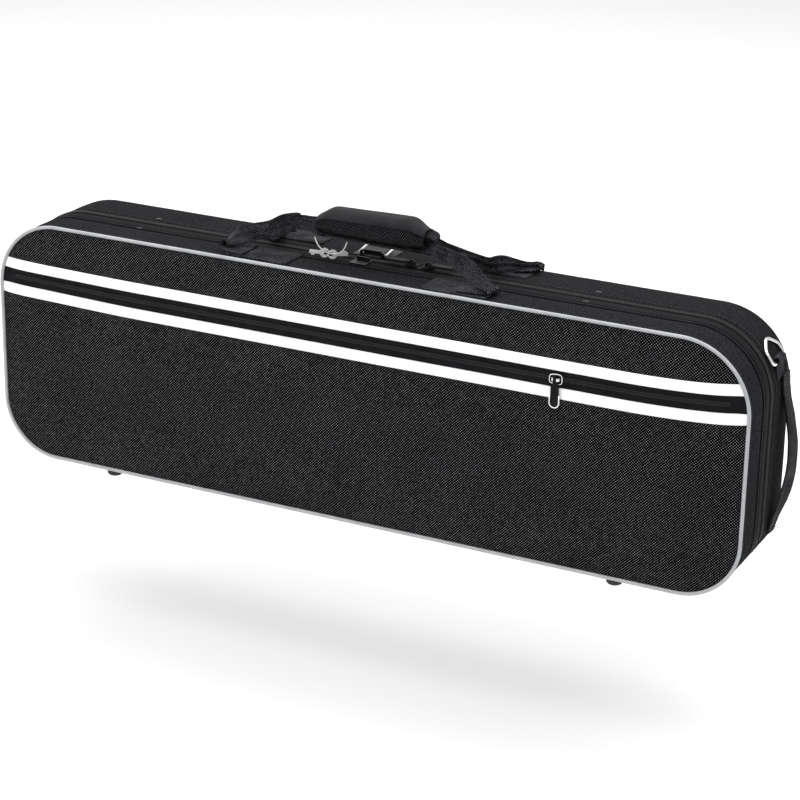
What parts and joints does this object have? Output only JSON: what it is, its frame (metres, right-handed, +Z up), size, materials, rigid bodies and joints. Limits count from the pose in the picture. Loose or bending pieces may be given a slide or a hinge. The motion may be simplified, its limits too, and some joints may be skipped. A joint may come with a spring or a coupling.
{
  "type": "violin case",
  "caption": "Oblong zipped violin case with a music pocket, padded handle, end loop and a cradled plush interior.",
  "frame": {"origin": "on the surface that the feet stand on, under the middle of the case's bounding box", "axes": "+X along the case's length towards the end loop, -Y towards the lid's face, +Z up towards the handle"},
  "size_m": [0.8249, 0.1382, 0.309],
  "materials": {
    "oxford_cloth": "woven twill polyester, matt",
    "shell_foam": "moulded foam board",
    "plush": "short-pile plush",
    "satin_ribbon": "satin",
    "zip_tape": "herringbone tape",
    "zip_coil": "nylon coil",
    "piping_cloth": "satin piping",
    "light_tape": "smooth reflective tape",
    "webbing": "ribbed webbing",
    "nickel": "polished",
    "steel": "satin",
    "black_zinc": "black enamel",
    "gunmetal": "gunmetal enamel with bright edges",
    "foot_rubber": "matt",
    "clip_plastic": "satin",
    "string": "waxed thread"
  },
  "bodies": {
    "body": {"body_cover": "oxford_cloth", "body_shell": "shell_foam", "body_lining": "plush", "cradle_insert": "plush", "suspension_pads": "plush", "neck_cradle": "plush", "neck_strap": "satin_ribbon", "body_zip_tape": "zip_tape", "body_zip_coil": "zip_coil", "body_feet": "foot_rubber", "body_hinge_leaves": "steel", "hinge_pins": "steel", "handle_grip": "oxford_cloth", "handle_strap_rear": "webbing", "end_loop": "webbing", "ring_tab_left": "webbing", "ring_tab_right": "webbing", "lock_plate": "nickel"},
    "lid": {"lid_cover": "oxford_cloth", "lid_shell": "shell_foam", "lid_lining": "plush", "front_piping": "piping_cloth", "pocket_lower_panel": "oxford_cloth", "pocket_upper_panel": "oxford_cloth", "pocket_lower_strip": "light_tape", "pocket_upper_strip": "light_tape", "pocket_zip_tape": "zip_tape", "pocket_zip_coil": "zip_coil", "lid_zip_tape": "zip_tape", "lid_zip_coil": "zip_coil", "lid_feet": "foot_rubber", "lid_hinge_leaves": "steel", "handle_strap_front": "webbing", "lock_catch": "nickel", "spinner_pivots": "steel", "bow_tip_sleeves": "plush", "key_string": "string", "keys": "steel"},
    "pocket_slider": {"pocket_slider": "gunmetal"},
    "pocket_pull": {"pocket_pull": "gunmetal"},
    "zip_slider_left": {"zip_slider_left": "black_zinc"},
    "zip_pull_left": {"zip_pull_left": "black_zinc"},
    "zip_slider_right": {"zip_slider_right": "black_zinc"},
    "zip_pull_right": {"zip_pull_right": "black_zinc"},
    "shoulder_ring_left": {"shoulder_ring_left": "nickel"},
    "shoulder_ring_right": {"shoulder_ring_right": "nickel"},
    "lock_bail": {"lock_bail": "nickel"},
    "accessory_lid": {"accessory_lid": "plush", "accessory_tab": "satin_ribbon"},
    "bow_spinner_upper": {"bow_spinner_upper": "clip_plastic"},
    "bow_spinner_lower": {"bow_spinner_lower": "clip_plastic"}
  },
  "joints": [
    {"name": "lid_hinge", "type": "hinge", "parent": "body", "child": "lid", "pos_m": [-0.01075, -0.0019, 0.0066], "axis": [1, 0, 0], "range_deg": [0, 105]},
    {"name": "pocket_zip_slide", "type": "slide", "parent": "lid", "child": "pocket_slider", "axis": [1, 0, 0], "range_m": [-0.57, 0.14]},
    {"name": "pocket_pull_swing", "type": "hinge", "parent": "pocket_slider", "child": "pocket_pull", "pos_m": [0.20425, -0.067, 0.1985], "axis": [-1, 0, 0], "range_deg": [0, 150]},
    {"name": "zip_left_slide", "type": "slide", "parent": "body", "child": "zip_slider_left", "axis": [1, 0, 0], "range_m": [-0.32, 0]},
    {"name": "zip_right_slide", "type": "slide", "parent": "body", "child": "zip_slider_right", "axis": [1, 0, 0], "range_m": [0, 0.25]},
    {"name": "zip_pull_left_swing", "type": "hinge", "parent": "zip_slider_left", "child": "zip_pull_left", "pos_m": [0.02525, -0.0019, 0.265], "axis": [0, 1, 0], "range_deg": [0, 27]},
    {"name": "zip_pull_right_swing", "type": "hinge", "parent": "zip_slider_right", "child": "zip_pull_right", "pos_m": [0.04325, -0.0019, 0.265], "axis": [0, -1, 0], "range_deg": [0, 27]},
    {"name": "ring_right_swing", "type": "hinge", "parent": "body", "child": "shoulder_ring_right", "pos_m": [0.38641, 0.0241, 0.22085], "axis": [0, 1, 0], "range_deg": [0, 170]},
    {"name": "ring_left_swing", "type": "hinge", "parent": "body", "child": "shoulder_ring_left", "pos_m": [-0.40791, 0.0241, 0.22085], "axis": [0, -1, 0], "range_deg": [0, 170]},
    {"name": "lock_bail_swing", "type": "hinge", "parent": "body", "child": "lock_bail", "pos_m": [-0.02375, 0.0116, 0.262], "axis": [1, 0, 0], "range_deg": [0, 165]},
    {"name": "accessory_lid_hinge", "type": "hinge", "parent": "body", "child": "accessory_lid", "pos_m": [-0.14875, 0.0118, 0.238], "axis": [-1, 0, 0], "range_deg": [0, 88]},
    {"name": "bow_spinner_upper_turn", "type": "hinge", "parent": "lid", "child": "bow_spinner_upper", "pos_m": [0.25125, -0.0443, 0.192], "axis": [0, 1, 0], "range_deg": [0, 90]},
    {"name": "bow_spinner_lower_turn", "type": "hinge", "parent": "lid", "child": "bow_spinner_lower", "pos_m": [0.25125, -0.0443, 0.076], "axis": [0, 1, 0], "range_deg": [0, 90]}
  ]
}
